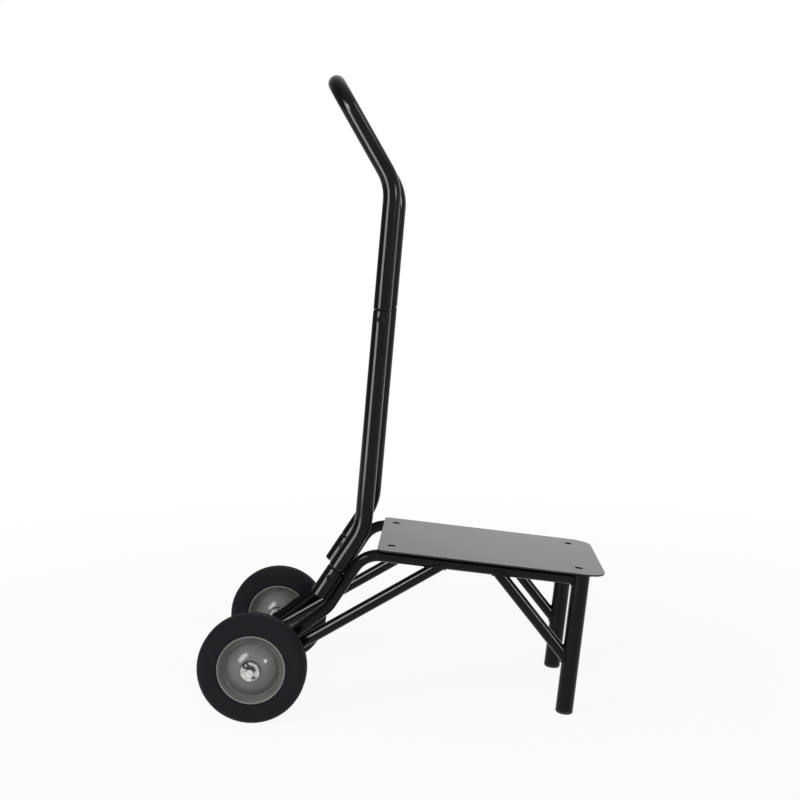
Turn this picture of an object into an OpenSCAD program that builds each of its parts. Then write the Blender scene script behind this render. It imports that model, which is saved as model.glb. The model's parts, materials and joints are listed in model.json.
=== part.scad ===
// Stacking chair trolley: tubular frame with a flat platform, a bolted U handle
// and two wheels on one axle. Millimetres, +Z up, +X towards the platform front,
// +Y to the operator's left, origin on the floor under the middle of the trolley.
// The frame is drawn with its plate level, then tilted until wheels and feet both stand on the floor.

/* [Platform] */
// length of the plate, rear edge to front edge
plate_l = 435; // [400:1:460]
// width of the plate across the trolley
plate_w = 305; // [280:1:340]
// sheet thickness of the plate
plate_t = 3; // [2:0.5:5]
// radius of the two front corners
plate_front_r = 39; // [20:1:60]
// radius of the two rear corners
plate_rear_r = 11; // [3:0.5:18]
// diameter of the four open holes
hole_d = 14; // [8:0.5:16]
// rear hole row, distance from the rear edge
hole_rear_inset = 25.5; // [18:0.5:35]
// front hole row, distance from the front edge
hole_front_inset = 49; // [38:0.5:56]
// distance between the two holes of one row
hole_row = 211; // [190:1:222]

/* [Frame] */
// outside diameter of legs, uprights, sockets and handle
main_d = 33.4; // [30:0.1:34]
// wall of the main tube
main_wall = 1.6; // [1.2:0.1:2.2]
// outside diameter of rails, braces and axle tube
light_d = 22.2; // [20.4:0.1:25.4]
// wall of the light tube
light_wall = 1.5; // [1:0.1:2]
// leg axis, distance back from the front edge of the plate
leg_set = 46.9; // [42:0.1:56]
// height of a leg, plate top to foot
leg_h = 270.5; // [255:0.1:285]
// run and drop of the front brace from the rail and leg axes
front_brace_reach = 161.3; // [130:0.1:175]
// top of the rear brace, distance ahead of the rear edge of the plate
rear_brace_top = 127.3; // [105:0.1:140]
// upper rail bend, distance of its corner point behind the plate
rail_setback = 23.9; // [18:0.1:32]
// slope of the falling part of the rail against the plate
rail_drop_angle = 63; // [60:0.5:66]
// length of the falling part between its two corner points
rail_drop_l = 122.7; // [116:0.1:132]
// centre line radius of the rail bends
rail_bend_r = 52; // [46:1:56]
// axle, distance behind the rear edge of the plate
axle_back = 203.6; // [190:0.1:220]
// axle, distance below the plate top
axle_drop = 240.4; // [228:0.1:254]

/* [Handle] */
// length of the socket welded to the rail
socket_l = 57; // [52:1:64]
// corner point of the lower upright bend above the plate top
upright_bend_h = 32.6; // [24:0.1:40]
// backward lean of the uprights against the plate normal
upright_lean = 1.76; // [0:0.02:4]
// height of the bolted joint above the plate top
seam_h = 444.2; // [380:0.2:500]
// height of the kink in the handle arms above the plate top
kink_h = 682; // [640:0.1:720]
// height of the crossbar axis above the plate top
crossbar_h = 862.5; // [840:0.5:900]
// backward lean of the top of the handle against the plate normal
kink_lean = 36.3; // [30:0.1:42]
// centre line radius of the kinks and of the lower upright bends
kink_r = 100; // [80:1:115]
// centre line radius of the two top corners
corner_r = 75; // [60:1:90]
// length of a swaged tube end inside the tube that takes it
neck_l = 40; // [34:1:46]
// bolt axis, distance from the end of the outer tube
bolt_drop = 16; // [12:0.5:20]
// bolt shank diameter
bolt_d = 8; // [6:0.5:9]

/* [Wheels] */
// wheel diameter over the tread
wheel_d = 203.2; // [190:0.2:212]
// width of the tyre
tyre_w = 44.5; // [40:0.5:50]
// free space between tyre and side rail
tyre_gap = 10.95; // [8:0.05:16]
// outside diameter of the rim lips
rim_d = 127; // [120:0.5:132]
// sheet thickness of the rim discs
rim_t = 2; // [1.5:0.1:2.4]
// length of the hub tube
hub_l = 50; // [46:0.5:54]
// outside diameter of the hub tube
hub_d = 36; // [34:0.5:38]
// diameter of the axle rod
axle_d = 15.875; // [14:0.025:16.5]
// outside diameter of the washers
washer_d = 34; // [30:0.5:38]

/* [Hidden] */
// gap left for a weld bead
weld_gap = 0.2;
// gap between bolted or stacked faces
seat_gap = 0.2;
// free running gap between a hub and a washer
run_gap = 0.3;
// radial gap of a bushing on the axle
bushing_gap = 0.06;
// radial gap of a pressed part
press_gap = 0.05;
// radial gap of one tube in another
tube_gap = 0.2;
// radial gap of a bolt or pin in its hole
bolt_gap = 0.3;
// cuts run past a face by this much
overrun = 1;
// straight lengths run into the bends by this much and are thinner by the draw step
lap = 0.5;
draw_step = 0.08;
// wall of the axle tube leaves room for the rod
axle_tube_gap = 0.25;
// legs stand inside the plate edge by this much
leg_inset = 0.6;
// length of a swaged shoulder
swage_l = 5;
// head of a foot plug
plug_t = 6;
// edge radius of a foot plug
plug_r = 3;
// stem of a foot plug inside the leg
plug_stem = 16;
// wall of a foot plug stem
plug_wall = 2.4;
// socket ends this far above the lower rail bend
socket_clear = 2;
// washer thickness, inner and outer
washer_in_t = 2;
washer_out_t = 2.5;
// wire of the split pin
pin_d = 4;
// axle past the split pin
axle_tip = 7.5;
// chamfer at the axle ends
axle_chamfer = 1.2;
// split pin direction, eye to the upper rear
pin_angle = 53;
// split pin past the axle at the eye end and at the legs
pin_eye_out = 1.2;
pin_leg_out = 3;
pin_eye_share = 1.15;
pin_leg_share = 1.5;
pin_leg_turn = 60;
pin_wire_share = 0.6;
// bushing length in the hub
bushing_l = 18;
bushing_wall = 4;
// tyre shoulder and bead
shoulder_share = 0.36;
heel_share = 0.16;
bead_seat = 8.5;
bead_out_share = 0.25;
bead_in_share = 0.045;
lip_grip = 0.3;
groove_w = 2.2;
groove_deep = 1.4;
groove_shares = [-0.2, 0, 0.2];
// rim sheet profile, shares of the rim radius and of the half hub length
lip_shares = [[0.994, 0.672], [0.97, 0.66], [0.948, 0.6], [0.92, 0.48], [0.888, 0.344]];
well_shares = [[0.857, 0.224], [0.828, 0.16], [0.8, 0.156], [0.765, 0.216]];
dome_shares = [[0.718, 0.32], [0.661, 0.424], [0.592, 0.532], [0.51, 0.644], [0.419, 0.744], [0.346, 0.808]];
collar_a_share = 0.84;
// bolt head and nut, shares of the shank
head_share = 1.75;
head_h_share = 0.55;
key_share = 0.72;
key_deep_share = 0.3;
nut_share = 1.876;
nut_h_share = 0.8;
bolt_past_nut = 2;
thread_gap = 0.05;
// brace end laid under the arm, share of the arm and of the tube diameter
rear_brace_share = 0.93;
rear_brace_bite_share = 0.7;

$fn = 64;

main_id = main_d - 2 * main_wall;
light_id = light_d - 2 * light_wall;
neck_d = main_id - 2 * tube_gap;
neck_id = neck_d - 2 * main_wall;
side_y = plate_w / 2 - leg_inset - main_d / 2;
rail_w = -(plate_t + weld_gap + light_d / 2);
leg_u = plate_l - leg_set;

function unit(v) = v / norm(v);
function tilt_of(v) = atan2(v[0], v[1]);
function half_turn(p, a, b) = acos(unit(a - p) * unit(b - p)) / 2;
function run_in(p, a, b, r) = r / tan(half_turn(p, a, b));
function leave(p, a, b, r) = p + unit(b - p) * run_in(p, a, b, r);

drop_dir = [-cos(rail_drop_angle), -sin(rail_drop_angle)];
drop_out = [-sin(rail_drop_angle), cos(rail_drop_angle)];
rail_front = [leg_u, rail_w];
rail_high = [-rail_setback, rail_w];
rail_low = rail_high + drop_dir * rail_drop_l;
axle_at = [-axle_back, -axle_drop];
rail_path = [rail_front, rail_high, rail_low, axle_at];
arm_dir = unit(axle_at - rail_low);
arm_below = [-arm_dir[1], arm_dir[0]];

front_brace_high = [leg_u - front_brace_reach, rail_w];
front_brace_low = [leg_u, rail_w - front_brace_reach];
rear_brace_high = [rear_brace_top, rail_w];
rear_brace_low = rail_low + (axle_at - rail_low) * rear_brace_share
    + arm_below * light_d * rear_brace_bite_share;

socket_line = rail_high + drop_out * ((main_d + light_d) / 2 + weld_gap);
socket_end = rail_drop_l - run_in(rail_low, rail_high, axle_at, rail_bend_r) - socket_clear;
socket_low = socket_line + drop_dir * socket_end;
socket_high = socket_low - drop_dir * socket_l;
upright_corner = socket_line - drop_dir * ((upright_bend_h - socket_line[1]) / sin(rail_drop_angle));
lean_dir = [-sin(upright_lean), cos(upright_lean)];
seam_at = upright_corner + lean_dir * ((seam_h - upright_bend_h) / cos(upright_lean));
kink_at = upright_corner + lean_dir * ((kink_h - upright_bend_h) / cos(upright_lean));
top_dir = [-sin(kink_lean), cos(kink_lean)];
crossbar_at = kink_at + top_dir * ((crossbar_h - kink_h) / cos(kink_lean));
splice_at = seam_at - lean_dir * bolt_drop;
socket_bolt_at = socket_high + drop_dir * bolt_drop;

wheel_r = wheel_d / 2;
toe = [leg_u + main_d / 2 - plug_r, plug_r - leg_h] - axle_at;
tilt = atan2(toe[1], toe[0]) + asin((wheel_r - plug_r) / norm(toe));
rear_x = axle_at[0] * cos(tilt) + axle_at[1] * sin(tilt) - wheel_r;
front_x = plate_l * cos(tilt);
shift_x = -(rear_x + front_x) / 2;
shift_z = wheel_r + axle_at[0] * sin(tilt) - axle_at[1] * cos(tilt);

track_y = side_y + light_d / 2 + tyre_gap + tyre_w / 2;
hub_in_y = track_y - hub_l / 2;
hub_out_y = track_y + hub_l / 2;
washer_in_y = hub_in_y - run_gap - washer_in_t;
axle_tube_y = washer_in_y - seat_gap;
washer_out_y = hub_out_y + run_gap;
pin_y = washer_out_y + washer_out_t + seat_gap + pin_d / 2;
axle_end_y = pin_y + pin_d / 2 + axle_tip;
hub_id = axle_d + 2 * (bushing_gap + bushing_wall + press_gap);

rim_r = rim_d / 2;
half_hub = hub_l / 2;
collar_r = hub_d / 2 + press_gap + rim_t / 2;
rim_shares = concat(lip_shares, well_shares, dome_shares);
collar = [collar_r, half_hub * collar_a_share];
rim_line = concat([for (s = rim_shares) [rim_r * s[0], half_hub * s[1]]], [collar]);

black_paint = [0.07, 0.07, 0.075];
black_plastic = [0.05, 0.05, 0.05];
rubber = [0.11, 0.11, 0.12];
rim_paint = [0.42, 0.42, 0.4];
zinc = [0.72, 0.72, 0.7];
bronze = [0.55, 0.42, 0.25];

// level frame to standing frame
module standing() translate([shift_x, 0, shift_z]) rotate([0, tilt, 0]) children();

// from the middle of a side plane to the left or right side, outward is local +Z
module on_left(p, y) translate([p[0], y, p[1]]) rotate([-90, 0, 0]) children();
module on_right(p, y) translate([p[0], -y, p[1]]) rotate([90, 0, 0]) children();

module ring(od, id) difference() {
    circle(d = od);
    circle(d = id);
}

// straight tube in a side plane
module run(p, q, y, od, id)
    translate([p[0], y, p[1]]) rotate([0, tilt_of(q - p), 0])
        linear_extrude(height = norm(q - p)) ring(od, id);

// solid bar in a side plane, used to cope one tube against another
module bar(p, q, y, d)
    translate([p[0], y, p[1]]) rotate([0, tilt_of(q - p), 0])
        cylinder(d = d, h = norm(q - p));

// solid bend in a side plane, around corner p between a and b
module bend(p, a, b, r, y, d) {
    half = half_turn(p, a, b);
    c = p + unit(unit(a - p) + unit(b - p)) * (r / sin(half));
    va = leave(p, b, a, r) - c;
    vb = leave(p, a, b, r) - c;
    first = va[0] * vb[1] - va[1] * vb[0] > 0 ? va : vb;
    translate([c[0], y, c[1]]) rotate([90, 0, 0]) rotate([0, 0, atan2(first[1], first[0])])
        rotate_extrude(angle = 180 - 2 * half) translate([r, 0]) circle(d = d);
}

// solid bent bar through the corner points, run past its two ends
module bent_bar(path, r, y, d, past_first, past_last) {
    last = len(path) - 1;
    for (i = [0 : last - 1]) {
        along = unit(path[i + 1] - path[i]);
        from = i == 0 ? path[0] - along * past_first
            : leave(path[i], path[i - 1], path[i + 1], r) - along * lap;
        to = i + 1 == last ? path[last] + along * past_last
            : leave(path[i + 1], path[i + 2], path[i], r) + along * lap;
        bar(from, to, y, d - 2 * draw_step);
    }
    for (i = [1 : last - 1]) bend(path[i], path[i - 1], path[i + 1], r, y, d);
}

// swaged end: collar and shoulder up to p, then the neck along d
module swage(p, dir, y, d, neck, past)
    translate([p[0], y, p[1]]) rotate([0, tilt_of(dir), 0]) rotate_extrude() polygon([
        [0, -swage_l - 2 * lap], [d / 2, -swage_l - 2 * lap], [d / 2, -swage_l],
        [neck / 2, 0], [neck / 2, neck_l + past], [0, neck_l + past]]);

module cross_hole(p, y, d)
    translate([p[0], y, p[1]]) rotate([90, 0, 0])
        cylinder(d = d, h = main_d + 2 * overrun, center = true);

// plate
module platform_plate() color(black_paint) standing() translate([0, 0, -plate_t])
    linear_extrude(height = plate_t) difference() {
        plate_outline();
        for (s = [-1, 1]) {
            translate([hole_rear_inset, s * hole_row / 2]) circle(d = hole_d);
            translate([plate_l - hole_front_inset, s * hole_row / 2]) circle(d = hole_d);
        }
    }

module plate_outline() {
    rear_flat = plate_w - 2 * plate_rear_r;
    front_flat = plate_w - 2 * plate_front_r;
    translate([plate_rear_r, -plate_w / 2])
        square([plate_l - plate_rear_r - plate_front_r, plate_w]);
    translate([0, -rear_flat / 2]) square([plate_rear_r, rear_flat]);
    translate([plate_l - plate_front_r, -front_flat / 2]) square([plate_front_r, front_flat]);
    for (s = [-1, 1]) {
        translate([plate_rear_r, s * rear_flat / 2]) circle(r = plate_rear_r);
        translate([plate_l - plate_front_r, s * front_flat / 2]) circle(r = plate_front_r);
    }
}

// rails and braces
module side_rail(y) difference() {
    bent_bar(rail_path, rail_bend_r, y, light_d, 0, 0);
    bent_bar(rail_path, rail_bend_r, y, light_id, overrun, overrun);
    leg_bar(y);
    translate([axle_at[0], y, axle_at[1]]) rotate([90, 0, 0])
        cylinder(d = light_d + 2 * weld_gap, h = light_d + 2 * overrun, center = true);
}

module leg_bar(y) bar([leg_u, -leg_h], [leg_u, 0], y, main_d + 2 * weld_gap);

module side_rail_left() color(black_paint) standing() side_rail(side_y);
module side_rail_right() color(black_paint) standing() side_rail(-side_y);

module rear_brace(y) difference() {
    run(rear_brace_high, rear_brace_low, y, light_d, light_id);
    bar([0, rail_w], rail_front, y, light_d + 2 * weld_gap);
    bar(rail_low, axle_at, y, light_d + 2 * weld_gap);
}

module rear_brace_left() color(black_paint) standing() rear_brace(side_y);
module rear_brace_right() color(black_paint) standing() rear_brace(-side_y);

module front_brace(y) difference() {
    run(front_brace_high, front_brace_low, y, light_d, light_id);
    bar([0, rail_w], rail_front, y, light_d + 2 * weld_gap);
    leg_bar(y);
}

module front_brace_left() color(black_paint) standing() front_brace(side_y);
module front_brace_right() color(black_paint) standing() front_brace(-side_y);

// legs and feet
module front_leg(y) run([leg_u, plug_t + seat_gap - leg_h], [leg_u, -plate_t - weld_gap], y, main_d, main_id);

module front_leg_left() color(black_paint) standing() front_leg(side_y);
module front_leg_right() color(black_paint) standing() front_leg(-side_y);

module foot_plug(y) translate([leg_u, y, -leg_h]) rotate_extrude() {
    translate([0, plug_r]) square([main_d / 2, plug_t - plug_r]);
    square([main_d / 2 - plug_r, plug_t]);
    intersection() {
        translate([main_d / 2 - plug_r, plug_r]) circle(r = plug_r);
        square([main_d / 2, plug_t]);
    }
    translate([main_id / 2 - tube_gap - plug_wall, 0])
        square([plug_wall, plug_t + plug_stem]);
}

module foot_plug_left() color(black_plastic) standing() foot_plug(side_y);
module foot_plug_right() color(black_plastic) standing() foot_plug(-side_y);

// handle
module handle_socket(y) difference() {
    run(socket_high, socket_low, y, main_d, main_id);
    cross_hole(socket_bolt_at, y, bolt_d + 2 * bolt_gap);
}

module handle_socket_left() color(black_paint) standing() handle_socket(side_y);
module handle_socket_right() color(black_paint) standing() handle_socket(-side_y);

module upright_form(y, d, neck, past) {
    bent_bar([seam_at, upright_corner, socket_high - drop_dir * (swage_l + lap)], kink_r, y, d, past, 0);
    swage(socket_high, drop_dir, y, d, neck, past);
}

module handle_upright(y) difference() {
    upright_form(y, main_d, neck_d, 0);
    upright_form(y, main_id, neck_id, overrun);
    cross_hole(splice_at, y, bolt_d + 2 * bolt_gap);
    cross_hole(socket_bolt_at, y, bolt_d + 2 * bolt_gap);
}

module handle_upright_left() color(black_paint) standing() handle_upright(side_y);
module handle_upright_right() color(black_paint) standing() handle_upright(-side_y);

module arm_form(y, d, neck, past) {
    swage(seam_at, -lean_dir, y, d, neck, past);
    bent_bar([seam_at + lean_dir * (swage_l + lap), kink_at, crossbar_at - top_dir * (corner_r - lap)],
        kink_r, y, d, 0, 0);
}

module corner_form(d) translate([0, side_y - corner_r, -corner_r]) rotate([90, 0, 90])
    rotate_extrude(angle = 90) translate([corner_r, 0]) circle(d = d);

module handle_form(d, neck, past) {
    arm_form(side_y, d, neck, past);
    arm_form(-side_y, d, neck, past);
    translate([crossbar_at[0], 0, crossbar_at[1]]) rotate([0, -kink_lean, 0]) {
        corner_form(d);
        mirror([0, 1, 0]) corner_form(d);
        rotate([90, 0, 0])
            cylinder(d = d - 2 * draw_step, h = 2 * (side_y - corner_r + lap), center = true);
    }
}

module handle_upper() color(black_paint) standing() difference() {
    handle_form(main_d, neck_d, 0);
    handle_form(main_id, neck_id, overrun);
    for (s = [-1, 1]) cross_hole(splice_at, s * side_y, bolt_d + 2 * bolt_gap);
}

// bolts and nuts, local +Z outward, origin on the tube axis
module button_bolt() {
    head_r = bolt_d * head_share / 2;
    head_h = bolt_d * head_h_share;
    dome_r = (head_r * head_r + head_h * head_h) / (2 * head_h);
    seat = main_d / 2 + seat_gap;
    difference() {
        translate([0, 0, seat]) rotate_extrude() intersection() {
            translate([0, head_h - dome_r]) circle(r = dome_r);
            square([head_r, head_h]);
        }
        translate([0, 0, seat + head_h * key_deep_share])
            cylinder(d = bolt_d * key_share, h = head_h, $fn = 6);
    }
    translate([0, 0, -seat - bolt_d * nut_h_share - bolt_past_nut])
        cylinder(d = bolt_d, h = 2 * seat + bolt_d * nut_h_share + bolt_past_nut);
}

module hex_nut() translate([0, 0, -main_d / 2 - seat_gap - bolt_d * nut_h_share]) difference() {
    cylinder(d = bolt_d * nut_share, h = bolt_d * nut_h_share, $fn = 6);
    translate([0, 0, -overrun])
        cylinder(d = bolt_d + 2 * thread_gap, h = bolt_d * nut_h_share + 2 * overrun);
}

module splice_bolt_left() color(black_paint) standing() on_left(splice_at, side_y) button_bolt();
module splice_bolt_right() color(black_paint) standing() on_right(splice_at, side_y) button_bolt();
module splice_nut_left() color(black_paint) standing() on_left(splice_at, side_y) hex_nut();
module splice_nut_right() color(black_paint) standing() on_right(splice_at, side_y) hex_nut();
module socket_bolt_left() color(black_paint) standing() on_left(socket_bolt_at, side_y) button_bolt();
module socket_bolt_right() color(black_paint) standing() on_right(socket_bolt_at, side_y) button_bolt();
module socket_nut_left() color(black_paint) standing() on_left(socket_bolt_at, side_y) hex_nut();
module socket_nut_right() color(black_paint) standing() on_right(socket_bolt_at, side_y) hex_nut();

// axle, local +Z outward to the left
module axle_tube() color(black_paint) standing() on_left(axle_at, 0)
    translate([0, 0, -axle_tube_y])
        linear_extrude(height = 2 * axle_tube_y) ring(light_d, axle_d + 2 * axle_tube_gap);

module axle_rod() color(zinc) standing() on_left(axle_at, 0) difference() {
    union() {
        translate([0, 0, axle_chamfer - axle_end_y])
            cylinder(d = axle_d, h = 2 * (axle_end_y - axle_chamfer));
        for (s = [0, 1]) mirror([0, 0, s]) translate([0, 0, axle_end_y - axle_chamfer])
            cylinder(d1 = axle_d, d2 = axle_d - 2 * axle_chamfer, h = axle_chamfer);
    }
    for (s = [-1, 1]) translate([0, 0, s * pin_y]) rotate([0, 90, pin_angle])
        cylinder(d = pin_d + 2 * bolt_gap, h = axle_d + 2 * overrun, center = true);
}

module washer(t) linear_extrude(height = t) ring(washer_d, axle_d + 2 * axle_tube_gap);

module inner_washer_left() color(zinc) standing() on_left(axle_at, washer_in_y) washer(washer_in_t);
module inner_washer_right() color(zinc) standing() on_right(axle_at, washer_in_y) washer(washer_in_t);
module outer_washer_left() color(zinc) standing() on_left(axle_at, washer_out_y) washer(washer_out_t);
module outer_washer_right() color(zinc) standing() on_right(axle_at, washer_out_y) washer(washer_out_t);

// split pin: eye, straight wire through the axle, two legs turned apart; local +X runs to the legs
module split_pin() {
    eye_r = pin_d * pin_eye_share;
    leg_r = pin_d * pin_leg_share;
    out = axle_d / 2 + pin_leg_out;
    into = axle_d / 2 + pin_eye_out;
    translate([-into, 0, 0]) rotate([0, 90, 0]) cylinder(d = pin_d, h = into + out);
    translate([-into - eye_r, 0, 0]) rotate_extrude() translate([eye_r, 0]) circle(d = pin_d * pin_wire_share);
    for (s = [0, 1]) mirror([0, s, 0]) translate([out, leg_r, 0]) rotate([0, 0, -90])
        rotate_extrude(angle = pin_leg_turn) translate([leg_r, 0]) intersection() {
            circle(d = pin_d);
            translate([-pin_d, -pin_d]) square([pin_d, 2 * pin_d]);
        }
}
module split_pin_left() color(zinc) standing() on_left(axle_at, pin_y) rotate([0, 0, pin_angle]) split_pin();
module split_pin_right() color(zinc) standing() on_right(axle_at, pin_y)
    rotate([0, 0, -pin_angle]) split_pin();

// wheels, local +Z outward from the middle of the wheel
module tyre() rotate_extrude() difference() {
    tyre_section();
    for (s = groove_shares) translate([wheel_r - groove_deep, s * tyre_w - groove_w / 2])
        square([groove_deep + overrun, groove_w]);
}

module tyre_section() {
    heel = rim_r + lip_grip;
    shoulder = tyre_w * shoulder_share;
    heel_round = tyre_w * heel_share;
    bead_r = rim_r - bead_seat;
    bead_out = tyre_w * bead_out_share;
    bead_in = tyre_w * bead_in_share;
    translate([heel, heel_round - tyre_w / 2])
        square([wheel_r - heel - shoulder, tyre_w - 2 * heel_round]);
    translate([heel + heel_round, -tyre_w / 2])
        square([wheel_r - heel - heel_round - shoulder, tyre_w]);
    translate([heel, shoulder - tyre_w / 2])
        square([wheel_r - heel, tyre_w - 2 * shoulder]);
    for (s = [-1, 1]) {
        translate([heel + heel_round, s * (tyre_w / 2 - heel_round)]) circle(r = heel_round);
        translate([wheel_r - shoulder, s * (tyre_w / 2 - shoulder)]) circle(r = shoulder);
    }
    polygon([
        [heel + heel_round, -bead_out], [heel + heel_round, bead_out], [heel, bead_out],
        [bead_r, bead_in], [bead_r, -bead_in], [heel, -bead_out]]);
}

// one face of a bent sheet, half the sheet away from its middle line
function face_dir(a, b) = let (d = unit(b - a)) [-d[1], d[0]];
function face_point(line, i, off) =
    i == 0 ? line[0] + face_dir(line[0], line[1]) * off
    : i == len(line) - 1 ? line[i] + face_dir(line[i - 1], line[i]) * off
    : let (n = face_dir(line[i - 1], line[i]), m = unit(n + face_dir(line[i], line[i + 1])))
        line[i] + m * off / (m * n);

module rim_disc() rotate_extrude() polygon(concat(
    [for (i = [0 : len(rim_line) - 1]) face_point(rim_line, i, rim_t / 2)],
    [for (i = [len(rim_line) - 1 : -1 : 0]) face_point(rim_line, i, -rim_t / 2)]));

module hub_tube() translate([0, 0, -half_hub]) linear_extrude(height = hub_l) ring(hub_d, hub_id);

module bushing() translate([0, 0, half_hub - bushing_l])
    linear_extrude(height = bushing_l) ring(hub_id - 2 * press_gap, axle_d + 2 * bushing_gap);

module left_wheel() standing() on_left(axle_at, track_y) children();
module right_wheel() standing() on_right(axle_at, track_y) children();
module inward() mirror([0, 0, 1]) children();

module tyre_left() color(rubber) left_wheel() tyre();
module tyre_right() color(rubber) right_wheel() tyre();
module rim_outer_left() color(rim_paint) left_wheel() rim_disc();
module rim_outer_right() color(rim_paint) right_wheel() rim_disc();
module rim_inner_left() color(rim_paint) left_wheel() inward() rim_disc();
module rim_inner_right() color(rim_paint) right_wheel() inward() rim_disc();
module hub_tube_left() color(rim_paint) left_wheel() hub_tube();
module hub_tube_right() color(rim_paint) right_wheel() hub_tube();
module bushing_outer_left() color(bronze) left_wheel() bushing();
module bushing_outer_right() color(bronze) right_wheel() bushing();
module bushing_inner_left() color(bronze) left_wheel() inward() bushing();
module bushing_inner_right() color(bronze) right_wheel() inward() bushing();

platform_plate();
side_rail_left();
side_rail_right();
rear_brace_left();
rear_brace_right();
front_leg_left();
front_leg_right();
front_brace_left();
front_brace_right();
foot_plug_left();
foot_plug_right();
handle_socket_left();
handle_socket_right();
handle_upright_left();
handle_upright_right();
handle_upper();
splice_bolt_left();
splice_bolt_right();
splice_nut_left();
splice_nut_right();
socket_bolt_left();
socket_bolt_right();
socket_nut_left();
socket_nut_right();
axle_tube();
axle_rod();
inner_washer_left();
inner_washer_right();
outer_washer_left();
outer_washer_right();
split_pin_left();
split_pin_right();
tyre_left();
tyre_right();
rim_outer_left();
rim_outer_right();
rim_inner_left();
rim_inner_right();
hub_tube_left();
hub_tube_right();
bushing_outer_left();
bushing_outer_right();
bushing_inner_left();
bushing_inner_right();
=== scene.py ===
"""Looks of the stacking chair trolley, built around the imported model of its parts."""

import json
import math

import bmesh
import bpy
from mathutils import Matrix, Vector


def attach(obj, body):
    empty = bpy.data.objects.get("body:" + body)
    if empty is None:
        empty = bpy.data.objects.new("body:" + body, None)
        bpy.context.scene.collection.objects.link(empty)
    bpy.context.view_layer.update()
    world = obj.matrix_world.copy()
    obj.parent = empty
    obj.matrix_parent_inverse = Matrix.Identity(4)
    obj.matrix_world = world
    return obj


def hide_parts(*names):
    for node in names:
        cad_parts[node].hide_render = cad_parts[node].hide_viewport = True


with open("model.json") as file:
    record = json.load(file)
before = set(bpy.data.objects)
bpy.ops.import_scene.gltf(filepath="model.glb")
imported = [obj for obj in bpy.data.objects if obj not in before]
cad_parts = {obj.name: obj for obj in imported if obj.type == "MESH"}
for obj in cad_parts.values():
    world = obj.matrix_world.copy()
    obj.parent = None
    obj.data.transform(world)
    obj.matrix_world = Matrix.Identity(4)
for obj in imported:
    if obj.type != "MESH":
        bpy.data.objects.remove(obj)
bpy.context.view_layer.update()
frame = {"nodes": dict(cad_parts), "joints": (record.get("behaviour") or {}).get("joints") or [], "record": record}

MM = 0.001
SIDES = {"left": 1, "right": -1}
FULL_TURN = 2 * math.pi
ALONG_X, ALONG_Y, ALONG_Z = Vector((1, 0, 0)), Vector((0, 1, 0)), Vector((0, 0, 1))

# The frame's sizes in millimetres, with its plate level: u runs forward from the plate's rear edge,
# y across, and w up from the plate's top.
PLATE_L, PLATE_W, PLATE_T = 435.0, 305.0, 3.0
TUBE_R, LIGHT_R = 16.7, 11.1
WELD_GAP = 0.2
LEG_INSET, LEG_SET = 0.6, 46.9
RAIL_SETBACK, RAIL_DROP, RAIL_BEND_R = 23.9, 122.7, 52.0
RAIL_SLOPE = math.radians(63)
AXLE_BACK, AXLE_DROP = 203.6, 240.4
FRONT_BRACE_REACH, REAR_BRACE_TOP = 161.3, 127.3
REAR_BRACE_SHARE, REAR_BRACE_BITE_SHARE = 0.93, 0.7
SOCKET_CLEAR = 2.0


def spot(u, w):
    """A point or a direction in the middle plane of one side of the level frame."""
    return Vector((u, 0, w))


SIDE_Y = PLATE_W / 2 - LEG_INSET - TUBE_R
PLATE_UNDER = -(PLATE_T + WELD_GAP)
RAIL_W = PLATE_UNDER - LIGHT_R
LEG_U = PLATE_L - LEG_SET
AXLE = spot(-AXLE_BACK, -AXLE_DROP)
DROP = spot(-math.cos(RAIL_SLOPE), -math.sin(RAIL_SLOPE))
TO_RAIL = spot(math.sin(RAIL_SLOPE), -math.cos(RAIL_SLOPE))
RAIL_HIGH = spot(-RAIL_SETBACK, RAIL_W)
RAIL_LOW = RAIL_HIGH + DROP * RAIL_DROP
ARM = (AXLE - RAIL_LOW).normalized()
UNDER_ARM = spot(-ARM.z, ARM.x)
FRONT_BRACE_HIGH = spot(LEG_U - FRONT_BRACE_REACH, RAIL_W)
FRONT_BRACE_LOW = spot(LEG_U, RAIL_W - FRONT_BRACE_REACH)
REAR_BRACE_HIGH = spot(REAR_BRACE_TOP, RAIL_W)
REAR_BRACE_LOW = RAIL_LOW.lerp(AXLE, REAR_BRACE_SHARE) + UNDER_ARM * 2 * LIGHT_R * REAR_BRACE_BITE_SHARE
SOCKET_END = RAIL_DROP - RAIL_BEND_R * math.tan(DROP.angle(ARM) / 2) - SOCKET_CLEAR
SOCKET_LOW = RAIL_HIGH - TO_RAIL * (TUBE_R + LIGHT_R + WELD_GAP) + DROP * SOCKET_END

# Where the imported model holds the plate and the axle.
MOUNTS = {mount["name"]: mount for mount in frame["record"]["mounts"]}
WHEELS = {joint["child"]: joint for joint in frame["joints"]}
PLATE_MIDDLE = Vector(MOUNTS["platform_top"]["pos_m"])
PLATE_UP = Vector(MOUNTS["platform_top"]["axis"]).normalized()
PLATE_AHEAD = Vector((PLATE_UP.z, 0, -PLATE_UP.x))
PLATE_HOLES = [mount["pos_m"] for mount in MOUNTS.values() if mount["kind"] == "bore"]
AXLE_X, TRACK_Y, AXLE_Z = (length / MM for length in WHEELS["wheel_left"]["pos_m"])


def stand(point):
    """Level-frame point (u, y, w) in millimetres to the standing frame in metres."""
    u, y, w = point
    return PLATE_MIDDLE + (PLATE_AHEAD * (u - PLATE_L / 2) + ALONG_Y * y + PLATE_UP * w) * MM


def about_axle(radius, turn, y):
    """Point at a radius and an angle about the axle, in the standing frame in metres."""
    return Vector((AXLE_X + radius * math.cos(turn), y, AXLE_Z + radius * math.sin(turn))) * MM


# How far the rounded normal leans on an edge, as 1 less the cosine: from no wear to full wear.
EDGE_BAND = 0.02, 0.2
BEVEL_SAMPLES = 4


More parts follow.
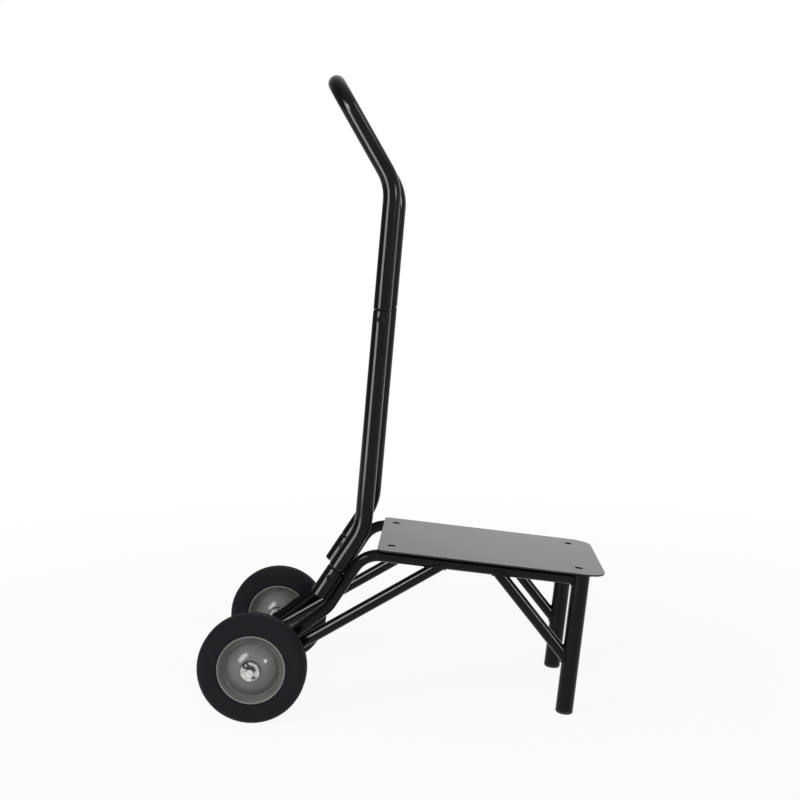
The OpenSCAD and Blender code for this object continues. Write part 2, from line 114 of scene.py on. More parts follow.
class Value:
    """A number carried by a socket; sums on it add Math nodes."""

    def __init__(self, finish, socket):
        self.finish, self.socket = finish, socket

    def math_node(self, operation, first, second):
        return self.finish.node("ShaderNodeMath", {"operation": operation}, {0: first, 1: second})

    def __add__(self, other):
        return self.math_node("ADD", self, other)

    def __radd__(self, other):
        return self.math_node("ADD", other, self)

    def __sub__(self, other):
        return self.math_node("SUBTRACT", self, other)

    def __rsub__(self, other):
        return self.math_node("SUBTRACT", other, self)

    def __mul__(self, other):
        return self.math_node("MULTIPLY", self, other)

    def __rmul__(self, other):
        return self.math_node("MULTIPLY", other, self)

    def most(self, other):
        return self.math_node("MAXIMUM", self, other)

    def least(self, other):
        return self.math_node("MINIMUM", self, other)


class Finish:
    """One material, or the world, and the nodes that make it."""

    def __init__(self, name, owner=None):
        self.owner = owner or bpy.data.materials.new(name)
        self.owner.use_nodes = True
        self.tree = self.owner.node_tree
        self.tree.nodes.clear()

    def node(self, kind, settings=None, sockets=None, out=0):
        """Adds a node, its settings first, then the values or links of its sockets."""
        made = self.tree.nodes.new(kind)
        for name, setting in (settings or {}).items():
            setattr(made, name, setting)
        for key, value in (sockets or {}).items():
            if isinstance(value, Value):
                self.tree.links.new(value.socket, made.inputs[key])
            else:
                made.inputs[key].default_value = value
        return Value(self, made.outputs[out]) if len(made.outputs) else made

    def place(self):
        return self.node("ShaderNodeTexCoord", out="Object")

    def stretched(self, scale):
        return self.node("ShaderNodeMapping", {}, {"Vector": self.place(), "Scale": scale})

    def vector_math(self, operation, first, second=(0, 0, 0), out="Vector"):
        return self.node("ShaderNodeVectorMath", {"operation": operation}, {0: first, 1: second}, out)

    def noise(self, scale, detail=2.0, rough=0.5, at=None):
        return self.node("ShaderNodeTexNoise", {}, {
            "Vector": at or self.place(), "Scale": scale, "Detail": detail, "Roughness": rough})

    def band(self, value, low, high):
        """0 below low, 1 above high, straight between."""
        return self.node("ShaderNodeMapRange", {"clamp": True}, {
            "Value": value, "From Min": low, "From Max": high, "To Min": 0.0, "To Max": 1.0})

    def blend(self, share, first, second):
        return self.node("ShaderNodeMix", {"data_type": "RGBA"}, {0: share, 6: first, 7: second}, out=2)

    def rounded(self, radius):
        """The surface normal, with corners rounded by the radius."""
        return self.node("ShaderNodeBevel", {"samples": BEVEL_SAMPLES}, {"Radius": radius})

    def edges(self, radius):
        """1 on corners tighter than the radius, 0 on flats."""
        flat = self.node("ShaderNodeNewGeometry", out="Normal")
        cosine = self.vector_math("DOT_PRODUCT", self.rounded(radius), flat, out="Value")
        return self.band(1 - cosine, *EDGE_BAND)

    def bump(self, height, depth, under=None):
        sockets = {"Height": height, "Distance": depth, "Strength": 1.0}
        if under:
            sockets["Normal"] = under
        return self.node("ShaderNodeBump", {}, sockets)

    def shader(self, **sockets):
        named = {key.replace("_", " "): value for key, value in sockets.items()}
        return self.node("ShaderNodeBsdfPrincipled", {}, named)

    def cover(self, shader):
        self.node("ShaderNodeOutputMaterial", {}, {"Surface": shader})
        return self.owner

    def surface(self, **sockets):
        return self.cover(self.shader(**sockets))


# Finishes; lengths in them are in metres.
HOLE_MATT, HOLE_EDGE = 0.0077, 0.0006
# Radii in metres of the painted highlight ring on the rim's lip.
LIP_HIGHLIGHT_BAND = 0.0613, 0.0623
# Radii in metres where painted shade, with some grime, darkens the rim's dish and then eases off.
DISH_SHADE_FROM, DISH_SHADE_FADE = (0.028, 0.047), (0.05, 0.057)


def gloss_black(name, peel, rough, wear_radius, ior, holes=()):
    """Gloss black powder coat: fine orange peel, faint haze, dust specks, rubbed edges, matt holes."""
    coat = Finish(name)
    haze = coat.noise(7, detail=4, rough=0.6)
    peel_bumps = coat.noise(520)
    specks = coat.band(coat.noise(900, detail=1, rough=0.4), 0.7, 0.76)
    dust = specks * coat.band(coat.noise(16, detail=3), 0.5, 0.7)
    rubbed = coat.edges(wear_radius) * coat.band(coat.noise(140, detail=4, rough=0.7), 0.45, 0.65)
    paint = coat.blend(haze, (0.0016, 0.0016, 0.0018, 1), (0.0034, 0.0034, 0.0037, 1))
    dusty = coat.blend(dust * 0.35, paint, (0.09, 0.088, 0.085, 1))
    worn = coat.blend(rubbed * 0.35, dusty, (0.055, 0.055, 0.057, 1))
    gloss = coat.shader(
        Base_Color=worn,
        Roughness=rough + 0.1 * haze + 0.25 * dust + 0.12 * rubbed,
        IOR=ior,
        Normal=coat.bump(peel_bumps, peel, under=coat.rounded(wear_radius * 0.7)))
    if not holes:
        return coat.cover(gloss)
    nearest = 1.0
    for hole in holes:
        nearest = coat.vector_math("DISTANCE", coat.place(), hole, out="Value").least(nearest)
    matt = coat.shader(Base_Color=paint, Roughness=0.7, IOR=1.1)
    return coat.cover(coat.node("ShaderNodeMixShader", {}, {
        0: coat.band(nearest, HOLE_MATT, HOLE_MATT + HOLE_EDGE), 1: matt, 2: gloss}))


def soft_plastic(name):
    """Black moulded plug: fine spark grain and scuffed rims."""
    skin = Finish(name)
    grain = skin.noise(1500, rough=0.6)
    cloud = skin.noise(30, detail=3)
    scuff = skin.edges(0.0015) * skin.band(skin.noise(260, detail=3, rough=0.7), 0.4, 0.7)
    body = skin.blend(cloud, (0.009, 0.009, 0.0095, 1), (0.016, 0.016, 0.017, 1))
    return skin.surface(
        Base_Color=skin.blend(scuff * 0.5, body, (0.07, 0.07, 0.07, 1)),
        Roughness=0.42 + 0.16 * cloud + 0.15 * scuff,
        IOR=1.45,
        Normal=skin.bump(grain, 0.00012, under=skin.rounded(0.0012)))


def wheel_rubber(name):
    """Solid rubber tyre: bluish black, dull, with moulding grain and a little dust."""
    skin = Finish(name)
    grain = skin.noise(1100, detail=3, rough=0.6)
    cloud = skin.noise(22, detail=4, rough=0.6)
    bloom = skin.band(skin.noise(60, detail=5, rough=0.65), 0.48, 0.75)
    body = skin.blend(cloud, (0.0117, 0.0114, 0.0149, 1), (0.0172, 0.0168, 0.0208, 1))
    return skin.surface(
        Base_Color=skin.blend(bloom * 0.25, body, (0.026, 0.0256, 0.029, 1)),
        Roughness=0.55 + 0.16 * cloud + 0.1 * bloom,
        IOR=1.2,
        Normal=skin.bump(grain, 0.00015))


def rim_enamel(name):
    """Glossy grey wheel enamel with a slight olive cast, painted shade with some grime in the dish, a painted
    highlight ring on the lip, chipped edges.
    """
    coat = Finish(name)
    cloud = coat.noise(26, detail=4, rough=0.6)
    flakes = coat.noise(2200, detail=1)
    peel_bumps = coat.noise(430)
    chips = coat.edges(0.0012) * coat.band(coat.noise(220, detail=3, rough=0.7), 0.52, 0.66)
    from_axle = coat.vector_math("SUBTRACT", coat.place(), (AXLE_X * MM, 0, AXLE_Z * MM))
    in_disc = coat.vector_math("MULTIPLY", from_axle, (1, 0, 1))
    radius = coat.vector_math("LENGTH", in_disc, out="Value")
    # A painted highlight ring on the lip, standing in for the gloss of the rolled edge.
    lip = coat.band(radius, *LIP_HIGHLIGHT_BAND)
    # Painted shade with some grime: darkens the dish from 28 mm out, most at 47 to 50 mm, and less from 50 mm out.
    dish_shade_and_grime = coat.band(radius, *DISH_SHADE_FROM) * (1 - 0.55 * coat.band(radius, *DISH_SHADE_FADE))
    body = coat.blend(cloud, (0.173, 0.175, 0.167, 1), (0.209, 0.211, 0.201, 1))
    flaked = coat.blend(coat.band(flakes, 0.55, 0.75) * 0.2, body, (0.26, 0.262, 0.248, 1))
    # Blends in the dark colour of the painted shade and grime.
    shaded_dish = coat.blend(dish_shade_and_grime * (0.25 + 0.5 * cloud), flaked, (0.075, 0.076, 0.07, 1))
    return coat.surface(
        # Chips and the painted highlight ring on the lip share one pale colour.
        Base_Color=coat.blend((chips * 0.6).most(lip * 0.75), shaded_dish, (0.34, 0.34, 0.33, 1)),
        Roughness=0.15 + 0.09 * cloud + 0.15 * chips,
        IOR=1.32,
        Normal=coat.bump(peel_bumps, 0.00003))


def bright_zinc(name, dull, pale):
    """Zinc plate from dull to pale grey: drawn streaks, patches, brighter rubbed edges."""
    plate = Finish(name)
    streaks = plate.noise(90, detail=4, rough=0.7, at=plate.stretched((1, 6, 1)))
    patches = plate.noise(120, detail=3, rough=0.6)
    rubbed = plate.edges(0.0008)
    body = plate.blend(plate.band(patches, 0.35, 0.65), dull, pale)
    return plate.surface(
        Base_Color=plate.blend(rubbed * 0.5, body, (0.9, 0.9, 0.9, 1)),
        Metallic=1.0,
        Roughness=0.22 + 0.16 * streaks + 0.08 * patches,
        Normal=plate.bump(streaks, 0.00005, under=plate.rounded(0.0005)))


def sintered_bronze(name):
    """Oil-filled bronze bushing: brown yellow, fine pores."""
    body = Finish(name)
    pores = body.noise(2600, rough=0.6)
    patches = body.noise(150, detail=3)
    return body.surface(
        Base_Color=body.blend(patches, (0.42, 0.27, 0.12, 1), (0.56, 0.38, 0.19, 1)),
        Metallic=1.0,
        Roughness=0.38 + 0.15 * pores,
        Normal=body.bump(pores, 0.00004))


PALE_ZINC = (0.78, 0.77, 0.75, 1)
TUBE_COAT = gloss_black("gloss_black_tube_coat", peel=0.000006, rough=0.1, wear_radius=0.0012, ior=1.25)
PLATE_COAT = gloss_black("gloss_black_plate_coat", peel=0.000008, rough=0.08, wear_radius=0.0012, ior=1.4,
                         holes=PLATE_HOLES)
BOLT_COAT = gloss_black("gloss_black_bolt_coat", peel=0.00001, rough=0.2, wear_radius=0.0006, ior=1.3)
BEAD_COAT = gloss_black("gloss_black_weld_coat", peel=0.00001, rough=0.14, wear_radius=0.0006, ior=1.25)
PLUG_PLASTIC = soft_plastic("moulded_plug_plastic")
TYRE_RUBBER = wheel_rubber("solid_tyre_rubber")
RIM_ENAMEL = rim_enamel("grey_rim_enamel")
AXLE_ZINC = bright_zinc("bright_turned_zinc", dull=(0.6, 0.61, 0.63, 1), pale=PALE_ZINC)
WASHER_ZINC = bright_zinc("dull_washer_zinc", dull=(0.34, 0.345, 0.35, 1), pale=PALE_ZINC)
# Near-black zinc for the split pins and their legs: painted shade, darker than the metal's own tone.
SHADE_DARK_PIN_ZINC = bright_zinc("drawn_wire_zinc_painted_shade", dull=(0.04, 0.041, 0.045, 1), pale=(0.16, 0.16, 0.165, 1))
BRONZE = sintered_bronze("sintered_bronze")


def add_piece(name, made, finish, body="frame"):
    """Turns a mesh in the making into a smooth piece that rides on a body."""
    mesh = bpy.data.meshes.new(name)
    bmesh.ops.recalc_face_normals(made, faces=made.faces)
    made.to_mesh(mesh)
    made.free()
    for face in mesh.polygons:
        face.use_smooth = True
    mesh.materials.append(finish)
    piece = bpy.data.objects.new(name, mesh)
    bpy.context.scene.collection.objects.link(piece)
    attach(piece, body)
    return piece


# Weld beads
BEAD_STEP, BEAD_SIDES = 0.7, 10
RIPPLE_L, RIPPLE_SHARE = 2.8, 0.09
SLOW_RIPPLE_SHARE, SLOW_RATE, SLOW_START = 0.55, 0.31, 1.0
TAPER_L, TIP_SHARE, TAPER_POWER = 2.0, 0.25, 0.6
FIRST_NORMAL = Vector((0.3, 0.5, 0.8))


def spread(points, step):
    """The polyline's points again, evenly spaced."""
    lengths = [0.0]
    for p, q in zip(points, points[1:]):
        lengths.append(lengths[-1] + (q - p).length)
    count = max(3, round(lengths[-1] / step))
    even, i = [], 0
    for k in range(count + 1):
        at = lengths[-1] * k / count
        while i < len(points) - 2 and lengths[i + 1] < at:
            i += 1
        span = lengths[i + 1] - lengths[i] or 1.0
        even.append(points[i].lerp(points[i + 1], (at - lengths[i]) / span))
    return even


def lay_bead(made, points, radius, closed, ripple=RIPPLE_SHARE):
    """Sweeps a rippled weld bead, or a plain wire, along points of the standing frame, in metres."""
    path = spread(points, BEAD_STEP * MM)
    if closed:
        path = path[:-1]
    count = len(path)
    normal = FIRST_NORMAL
    rings = []
    for i, p in enumerate(path):
        ahead = path[(i + 1) % count] if closed or i < count - 1 else p
        behind = path[i - 1] if closed or i else p
        tangent = (ahead - behind).normalized()
        normal = (normal - tangent * normal.dot(tangent)).normalized()
        across = tangent.cross(normal)
        phase = FULL_TURN * i * BEAD_STEP / RIPPLE_L
        waves = math.sin(phase) + SLOW_RIPPLE_SHARE * math.sin(phase * SLOW_RATE + SLOW_START)
        size = radius * (1 + ripple * waves)
        if not closed:
            from_end = min(i, count - 1 - i) * BEAD_STEP / TAPER_L
            size *= TIP_SHARE + (1 - TIP_SHARE) * min(1.0, from_end) ** TAPER_POWER
        rings.append([made.verts.new(p + (normal * math.cos(t) + across * math.sin(t)) * size * MM)
                      for t in (FULL_TURN * k / BEAD_SIDES for k in range(BEAD_SIDES))])
    pairs = list(zip(rings, rings[1:]))
    if closed:
        # the last ring meets the first with the least twist
        first = rings[0]
        turn = min(range(BEAD_SIDES), key=lambda k: (first[k].co - rings[-1][0].co).length)
        pairs.append((rings[-1], first[turn:] + first[:turn]))
    for one, two in pairs:
        for k in range(BEAD_SIDES):
            n = (k + 1) % BEAD_SIDES
            made.faces.new((one[k], one[n], two[n], two[k]))
    if not closed:
        made.faces.new(rings[0])
        made.faces.new(rings[-1])


SADDLE_POINTS, SADDLE_PROUD = 96, 0.5


def saddle(start, end, on, along, on_radius):
    """Where a light tube from start to end lands on a second tube: points a little proud of both."""
    run = (end - start).normalized()
    up = run.cross(ALONG_Y).normalized()
    across_run = run - along * run.dot(along)
    points = []
    for k in range(SADDLE_POINTS):
        t = FULL_TURN * k / SADDLE_POINTS
        out = ALONG_Y * math.cos(t) + up * math.sin(t)
        line = start + out * LIGHT_R
        apart = line - on
        apart -= along * apart.dot(along)
        half, whole = apart.dot(across_run), apart.length_squared - on_radius ** 2
        reach = max(0.0, half * half - across_run.length_squared * whole)
        hit = line + run * ((-half - math.sqrt(reach)) / across_run.length_squared)
        facing = hit - on
        facing -= along * facing.dot(along)
        points.append(hit + (out + facing.normalized()).normalized() * SADDLE_PROUD)
    return points + points[:1]


FOOT_POINTS, FOOT_PROBE, FOOT_WIDTH_SHARE, FOOT_PROUD_SHARE = 25, 10.0, 0.985, 1.06


def brace_foot():
    """The U shaped seam where the rear brace lies under the rail's arm."""
    down = (REAR_BRACE_LOW - REAR_BRACE_HIGH).normalized()
    above = spot(down.z, -down.x)
    if above.z < 0:
        above = -above

    def from_arm(p):
        apart = p - RAIL_LOW
        return (apart - ARM * apart.dot(ARM)).length

    near = from_arm(REAR_BRACE_LOW)
    rate = (near - from_arm(REAR_BRACE_LOW - down * FOOT_PROBE)) / FOOT_PROBE
    widest = math.sqrt(LIGHT_R ** 2 - near * near / 4) * FOOT_WIDTH_SHARE
    points = []
    for k in range(FOOT_POINTS):
        y = widest * math.cos(math.pi * k / (FOOT_POINTS - 1))
        gap = 2 * math.sqrt(LIGHT_R ** 2 - y * y)
        on_axis = REAR_BRACE_LOW - down * ((near - gap) / rate)
        points.append(on_axis + above * gap / 2 + ALONG_Y * y * FOOT_PROUD_SHARE)
    return points


BRACE_BEAD, AXLE_BEAD, LEG_BEAD, STITCH_BEAD, SOCKET_BEAD = 1.9, 2.1, 1.8, 1.7, 3.5
LEG_SEAM_POINTS, LEG_SEAM_OUT, LEG_SEAM_DROP = 64, 0.5, 0.6
STITCHES, STITCH_L, STITCH_Y, STITCH_DROP = (34, 178, 300), 38, 5.4, 0.9
SOCKET_SEAM_FROM, SOCKET_SEAM_TO, SOCKET_SEAM_Y, SOCKET_SEAM_SINK = 3, 54, 9.2, 0.7


def leg_top():
    """The round seam between a leg and the underside of the plate."""
    turns = [FULL_TURN * k / LEG_SEAM_POINTS for k in range(LEG_SEAM_POINTS + 1)]
    radius = TUBE_R + LEG_SEAM_OUT
    return [Vector((LEG_U + radius * math.cos(t), radius * math.sin(t), PLATE_UNDER - LEG_SEAM_DROP))
            for t in turns]


def side_welds():
    """(points, bead radius, closed) of every weld on one side, in the level frame."""
    leg, rail = spot(LEG_U, 0), spot(0, RAIL_W)
    yield saddle(FRONT_BRACE_LOW, FRONT_BRACE_HIGH, rail, ALONG_X, LIGHT_R), BRACE_BEAD, True
    yield saddle(FRONT_BRACE_HIGH, FRONT_BRACE_LOW, leg, ALONG_Z, TUBE_R), BRACE_BEAD, True
    yield saddle(REAR_BRACE_LOW, REAR_BRACE_HIGH, rail, ALONG_X, LIGHT_R), BRACE_BEAD, True
    yield saddle(rail, spot(LEG_U, RAIL_W), leg, ALONG_Z, TUBE_R), BRACE_BEAD, True
    yield saddle(RAIL_LOW, AXLE, AXLE, ALONG_Y, LIGHT_R), AXLE_BEAD, True
    yield brace_foot(), BRACE_BEAD, False
    yield leg_top(), LEG_BEAD, True
    for u in STITCHES:
        for y in (-STITCH_Y, STITCH_Y):
            start = Vector((u, y, PLATE_UNDER - STITCH_DROP))
            yield [start, start + ALONG_X * STITCH_L], STITCH_BEAD, False
    for y in (-SOCKET_SEAM_Y, SOCKET_SEAM_Y):
        seam = SOCKET_LOW + TO_RAIL * (TUBE_R - SOCKET_SEAM_SINK) + ALONG_Y * y
        yield [seam - DROP * SOCKET_SEAM_FROM, seam - DROP * SOCKET_SEAM_TO], SOCKET_BEAD, False


for side, sign in SIDES.items():
    beads = bmesh.new()
    for points, radius, closed in side_welds():
        lay_bead(beads, [stand(p + ALONG_Y * sign * SIDE_Y) for p in points], radius, closed)
    add_piece(f"weld_beads_{side}", beads, BEAD_COAT)


# Wheels; sections are (radius from the axle, distance outward from the wheel's middle).
TURN_STEPS = 144
WHEEL_R, TYRE_HALF = 101.6, 22.25
HEEL_R, SHOULDER_R = 7.12, 16.02
BEAD_SEAT, LIP_SEAT, BEAD_IN, BEAD_OUT, BEAD_TRIM = 55.0, 63.8, 2.0, 11.1, 0.8
WALL_RING = ((0.1, 0.0), (0.14, 0.45), (0.2, 0.45), (0.25, 0.0), (0.5, 0.0), (0.8, 0.05))
GROOVE_HALF, GROOVE_DEEP, GROOVE_FLANK = 1.1, 1.4, 0.3
SIDE_GROOVE, SIDE_GROOVE_R, GROOVE_CLEAR, GROOVE_RISE = 8.9, 101.25, 0.5, 0.12
LAND_HALF, LAND_EDGE, LAND_CHAMFER = 3.5, 0.35, 0.4


def turn_up(name, section, sign, finish, replaced):
    """Turns a closed section about the axle into a piece of one wheel."""
    made = bmesh.new()
    turns = [FULL_TURN * k / TURN_STEPS for k in range(TURN_STEPS)]
    rings = [[made.verts.new(about_axle(r, t, sign * (TRACK_Y + a))) for r, a in section] for t in turns]
    count = len(section)
    for one, two in zip(rings, rings[1:] + rings[:1]):
        for i in range(count):
            n = (i + 1) % count
            made.faces.new((one[i], one[n], two[n], two[i]))
    side = "left" if sign > 0 else "right"
    piece = add_piece(f"{name}_{side}", made, finish, f"wheel_{side}")
    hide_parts(f"{replaced}_{side}")


def arc(centre, radius, first, last, steps):
    """Points of a section on a round from one angle to another, in degrees."""
    turns = [math.radians(first + (last - first) * k / steps) for k in range(steps + 1)]
    return [(centre[0] + radius * math.cos(t), centre[1] + radius * math.sin(t)) for t in turns]


def tyre_section():
    """Bead, heel, ringed sidewall, round shoulder and a tread with three grooves."""
    half = [(BEAD_SEAT, BEAD_IN - BEAD_TRIM), (BEAD_SEAT + BEAD_TRIM, BEAD_IN + BEAD_TRIM / 2),
            (LIP_SEAT - BEAD_TRIM, BEAD_OUT - BEAD_TRIM * 3 / 4), (LIP_SEAT, BEAD_OUT + BEAD_TRIM)]
    wall_from, wall_to = LIP_SEAT + HEEL_R, WHEEL_R - SHOULDER_R
    half += arc((wall_from, TYRE_HALF - HEEL_R), HEEL_R, first=180, last=96, steps=10)
    half += [(wall_from + (wall_to - wall_from) * share, TYRE_HALF - depth) for share, depth in WALL_RING]
    shoulder = arc((wall_to, TYRE_HALF - SHOULDER_R), SHOULDER_R, first=90, last=0, steps=40)
    edge, floor = SIDE_GROOVE_R, SIDE_GROOVE_R - GROOVE_DEEP
    outer, inner = SIDE_GROOVE + GROOVE_HALF, SIDE_GROOVE - GROOVE_HALF
    half += [(r, a) for r, a in shoulder if a > outer + GROOVE_CLEAR]
    half += [(edge, outer + LAND_EDGE), (edge - LAND_CHAMFER, outer),
             (floor, outer - GROOVE_FLANK), (floor, inner + GROOVE_FLANK),
             (edge - GROOVE_FLANK, inner), (edge + GROOVE_RISE, inner - LAND_EDGE)]
    half += [(r, a) for r, a in shoulder if a < inner - GROOVE_CLEAR]
    half += [(WHEEL_R, LAND_HALF), (WHEEL_R, GROOVE_HALF + LAND_EDGE), (WHEEL_R - LAND_CHAMFER, GROOVE_HALF),
             (WHEEL_R - GROOVE_DEEP, GROOVE_HALF - GROOVE_FLANK)]
    return half + [(r, -a) for r, a in reversed(half)]


def smooth_line(points, steps):
    """Catmull-Rom line through the points."""
    ends = [points[0]] + points + [points[-1]]
    line = []
    for p0, p1, p2, p3 in zip(ends, ends[1:], ends[2:], ends[3:]):
        for k in range(steps):
            t = k / steps
            line.append(tuple(0.5 * (2 * b + (c - a) * t + (2 * a - 5 * b + 4 * c - d) * t * t
                                     + (3 * b - a - 3 * c + d) * t ** 3)
                              for a, b, c, d in zip(p0, p1, p2, p3)))
    return line + [points[-1]]


# The rim's pressed dish from its lip to its collar on the hub.
RIM_LINE = [(63.0, 16.8), (61.6, 16.5), (60.2, 15.0), (58.4, 12.0), (56.4, 8.6), (54.4, 5.6), (52.6, 4.0),
            (50.8, 3.9), (48.6, 5.4), (45.6, 8.0), (42.0, 10.6), (37.6, 13.3), (32.4, 16.1), (26.6, 18.6),
            (22.0, 20.2), (19.1, 21.0)]
RIM_STEPS, RIM_SHEET = 5, 2.0
LIP_ROLL = ((0.4, -0.75), (0.65, 0.0), (0.45, 0.6))


def rim_section():
    """Pressed rim disc as a closed sheet section with a rolled lip."""
    line = smooth_line(RIM_LINE, RIM_STEPS)
    front, back = [], []
    for (r, a), (r0, a0), (r1, a1) in zip(line, line[:1] + line, line[1:] + line[-1:]):
        length = math.hypot(r1 - r0, a1 - a0)
        out_r, out_a = (a1 - a0) / length * RIM_SHEET / 2, -(r1 - r0) / length * RIM_SHEET / 2
        front.append((r + out_r, a + out_a))
        back.append((r - out_r, a - out_a))
    lip_r, lip_a = line[0]
    return [(lip_r + r, lip_a + a) for r, a in LIP_ROLL] + front + back[::-1]


for side, sign in SIDES.items():
    turn_up("tyre_shell", tyre_section(), sign, TYRE_RUBBER, "tyre")
    turn_up("rim_face", rim_section(), sign, RIM_ENAMEL, "rim_outer")
    turn_up("rim_back", [(r, -a) for r, a in rim_section()], sign, RIM_ENAMEL, "rim_inner")


# Split pins, whose bent legs lie over the ends of the axle; their near-black zinc is painted shade, the dark arc
# over each axle end
PIN_OUT, WRAP_R, WIRE_R = 30.0, 10.0, 1.8
WRAP_FROM, WRAP_TO, WRAP_STEPS = 128, 8, 24

for side, sign in SIDES.items():
    wire = bmesh.new()
    wrap = [math.radians(WRAP_FROM + (WRAP_TO - WRAP_FROM) * k / WRAP_STEPS) for k in range(WRAP_STEPS + 1)]
    bend = [about_axle(WRAP_R, t, sign * (TRACK_Y + PIN_OUT)) for t in wrap]
    lay_bead(wire, bend, WIRE_R, closed=False, ripple=0.0)
    add_piece(f"pin_leg_{side}", wire, SHADE_DARK_PIN_ZINC)


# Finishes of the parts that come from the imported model, by how their names start
FINISHES = {
    "platform": PLATE_COAT, "side": TUBE_COAT, "rear": TUBE_COAT, "front": TUBE_COAT, "handle": TUBE_COAT,
    "foot": PLUG_PLASTIC, "splice": BOLT_COAT, "socket": BOLT_COAT, "axle_tube": TUBE_COAT,
    "axle_rod": AXLE_ZINC, "inner": WASHER_ZINC, "outer": WASHER_ZINC, "split": SHADE_DARK_PIN_ZINC,
    "tyre": TYRE_RUBBER, "rim": RIM_ENAMEL, "hub": WASHER_ZINC, "bushing": BRONZE,
}

for name, part in frame["nodes"].items():
    finish = next(f for start, f in FINISHES.items() if name.startswith(start))
    part.data.materials.clear()
    part.data.materials.append(finish)


# Studio: lengths in metres, strengths where 1 is white
WHITE = (1, 1, 1, 1)
AMBIENT, DIM_SIDE, DIM_FROM, DIM_TO = 0.36, 0.3, -0.7, 0.1
FLOOR_HALF, FLOOR_GREY = 8.0, (0.86, 0.86, 0.86, 1)
FLOOR_GLOW, FLOOR_NEAR, FLOOR_FAR = 0.92, 0.7, 2.2


def seen(light):
    """1 for rays that show the background: from the camera, in gloss or through glass."""
    path = [light.node("ShaderNodeLightPath", out=name)
            for name in ("Is Camera Ray", "Is Glossy Ray", "Is Transmission Ray")]
    return path[0].most(path[1]).most(path[2])


def white_room():
    """White world, dimmer in gloss on its left side and as a light."""
    world = bpy.data.worlds.new("studio")
    bpy.context.scene.world = world
    sky = Finish("studio", world)
    towards = sky.node("ShaderNodeTexCoord", out="Generated")
    across = sky.node("ShaderNodeSeparateXYZ", {}, {"Vector": towards}, out="X")
    to_camera = sky.node("ShaderNodeLightPath", out="Is Camera Ray")
    room = to_camera.most(DIM_SIDE + (1 - DIM_SIDE) * sky.band(across, DIM_FROM, DIM_TO))
    light = sky.node("ShaderNodeBackground", {}, {
        "Color": WHITE, "Strength": AMBIENT + (room - AMBIENT) * seen(sky)})
    sky.node("ShaderNodeOutputWorld", {}, {"Surface": light})


def floor_finish():
    """Pale floor that fades to white away from the trolley and keeps its shadow."""
    paint = Finish("pale_floor")
    glow = paint.node("ShaderNodeEmission", {}, {"Color": WHITE, "Strength": 1.0})
    matt = paint.node("ShaderNodeBsdfDiffuse", {}, {"Color": FLOOR_GREY})
    away = paint.vector_math("LENGTH", paint.place(), out="Value")
    share = FLOOR_GLOW + (1 - FLOOR_GLOW) * paint.band(away, FLOOR_NEAR, FLOOR_FAR)
    return paint.cover(paint.node("ShaderNodeMixShader", {}, {0: seen(paint) * share, 1: matt, 2: glow}))


white_room()
slab = bmesh.new()
bmesh.ops.create_grid(slab, x_segments=4, y_segments=4, size=FLOOR_HALF)
floor_mesh = bpy.data.meshes.new("floor")
slab.to_mesh(floor_mesh)
slab.free()
floor_mesh.materials.append(floor_finish())
floor = bpy.data.objects.new("floor", floor_mesh)
bpy.context.scene.collection.objects.link(floor)


def softbox(name, at, towards, size, radiance, only=None, roll=0.0, gloss=True):
    """Soft lamp of that radiance; with a group of pieces it is a card that shows only in their gloss."""
    width, height = size
    lamp = bpy.data.lights.new(name, "AREA")
    lamp.shape, lamp.size, lamp.size_y = "RECTANGLE", width, height
    lamp.energy = radiance * math.pi * width * height
    made = bpy.data.objects.new(name, lamp)
    made.location = at
    facing = (Vector(towards) - Vector(at)).to_track_quat("-Z", "Y").to_matrix()
    made.rotation_euler = (facing @ Matrix.Rotation(math.radians(roll), 3, "Z")).to_euler()
    bpy.context.scene.collection.objects.link(made)
    made.visible_camera, made.visible_glossy = False, gloss
    if only:
        made.visible_diffuse = False
        made.light_linking.receiver_collection = only


def group(name, members):
    """Collection of the pieces that a card shows on."""
    made = bpy.data.collections.new(name)
    for piece in members:
        made.objects.link(piece)
    return made


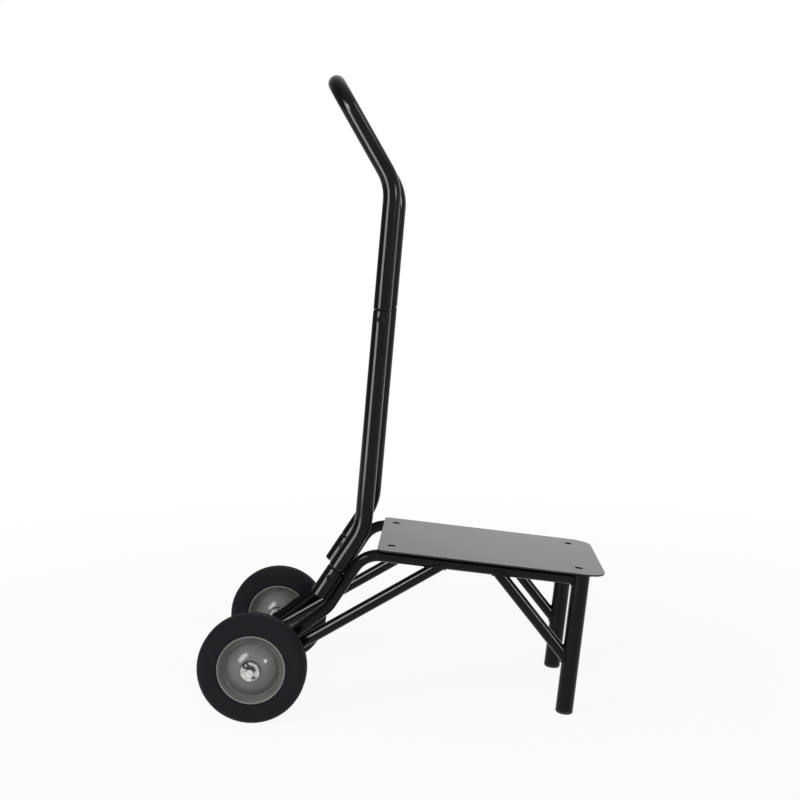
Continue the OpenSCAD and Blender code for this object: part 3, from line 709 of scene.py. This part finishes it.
coated = {name: part for name, part in frame["nodes"].items() if TUBE_COAT.name in part.data.materials}
TUBES = group("tubes", [part for name, part in coated.items() if name != "side_rail_left"])
STRAIGHT = group("straight_tubes", [
    part for name, part in coated.items() if not name.startswith("side_rail")])
RIMS = group("rims", [
    bpy.data.objects[f"{face}_{side}"] for face in ("rim_face", "rim_back") for side in SIDES])
MIDDLE, UPRIGHTS, ARMS = (0.0, 0.0, 0.55), (0.0, 0.0, 1.0), (-0.325, -0.05, 1.487)
LEGS, HUB = (0.2, -0.1, 0.3), (-0.28, -0.2, 0.1)
softbox("key_box", (-2.0, -1.75, 1.9), MIDDLE, size=(1.2, 1.2), radiance=6.0, gloss=False)
softbox("front_box", (0.3, -3.0, 1.2), MIDDLE, size=(1.6, 1.6), radiance=2.6, gloss=False)
softbox("brace_card", (-1.35, -2.3, 1.75), MIDDLE, size=(0.6, 0.6), radiance=22.0, only=TUBES)
softbox("left_card", (-1.75, -2.15, 1.1), UPRIGHTS, size=(1.2, 2.1), radiance=18.0, only=STRAIGHT)
softbox("high_card", (1.475, -0.45, 2.587), ARMS, size=(0.35, 0.6), radiance=16.0, only=TUBES)
softbox("right_card", (3.77, -2.57, 1.5), LEGS, size=(0.8, 0.8), radiance=32.0, only=TUBES)
softbox("rim_strip", (-1.49, -2.12, 0.87), HUB, size=(0.42, 1.3), radiance=26.0, only=RIMS, roll=-37.0)
softbox("rim_spot", (1.18, -2.27, 0.5), HUB, size=(0.15, 0.15), radiance=260.0, only=RIMS)

# Camera
EYE_AT = (0.0825, -2.40051, 0.83516)
PITCH, YAW, ROLL = 0.04584, -0.00367, 0.00191
eye = bpy.data.cameras.new("eye")
eye.sensor_width, eye.lens = 36.0, 54.53
eye.shift_x, eye.shift_y = -0.0657, -0.09
camera = bpy.data.objects.new("eye", eye)
camera.matrix_world = (Matrix.Translation(EYE_AT) @ Matrix.Rotation(YAW, 4, "Z")
                       @ Matrix.Rotation(math.pi / 2 - PITCH, 4, "X") @ Matrix.Rotation(ROLL, 4, "Z"))
bpy.context.scene.collection.objects.link(camera)
bpy.context.scene.camera = camera
bpy.context.scene.view_settings.view_transform = "Standard"
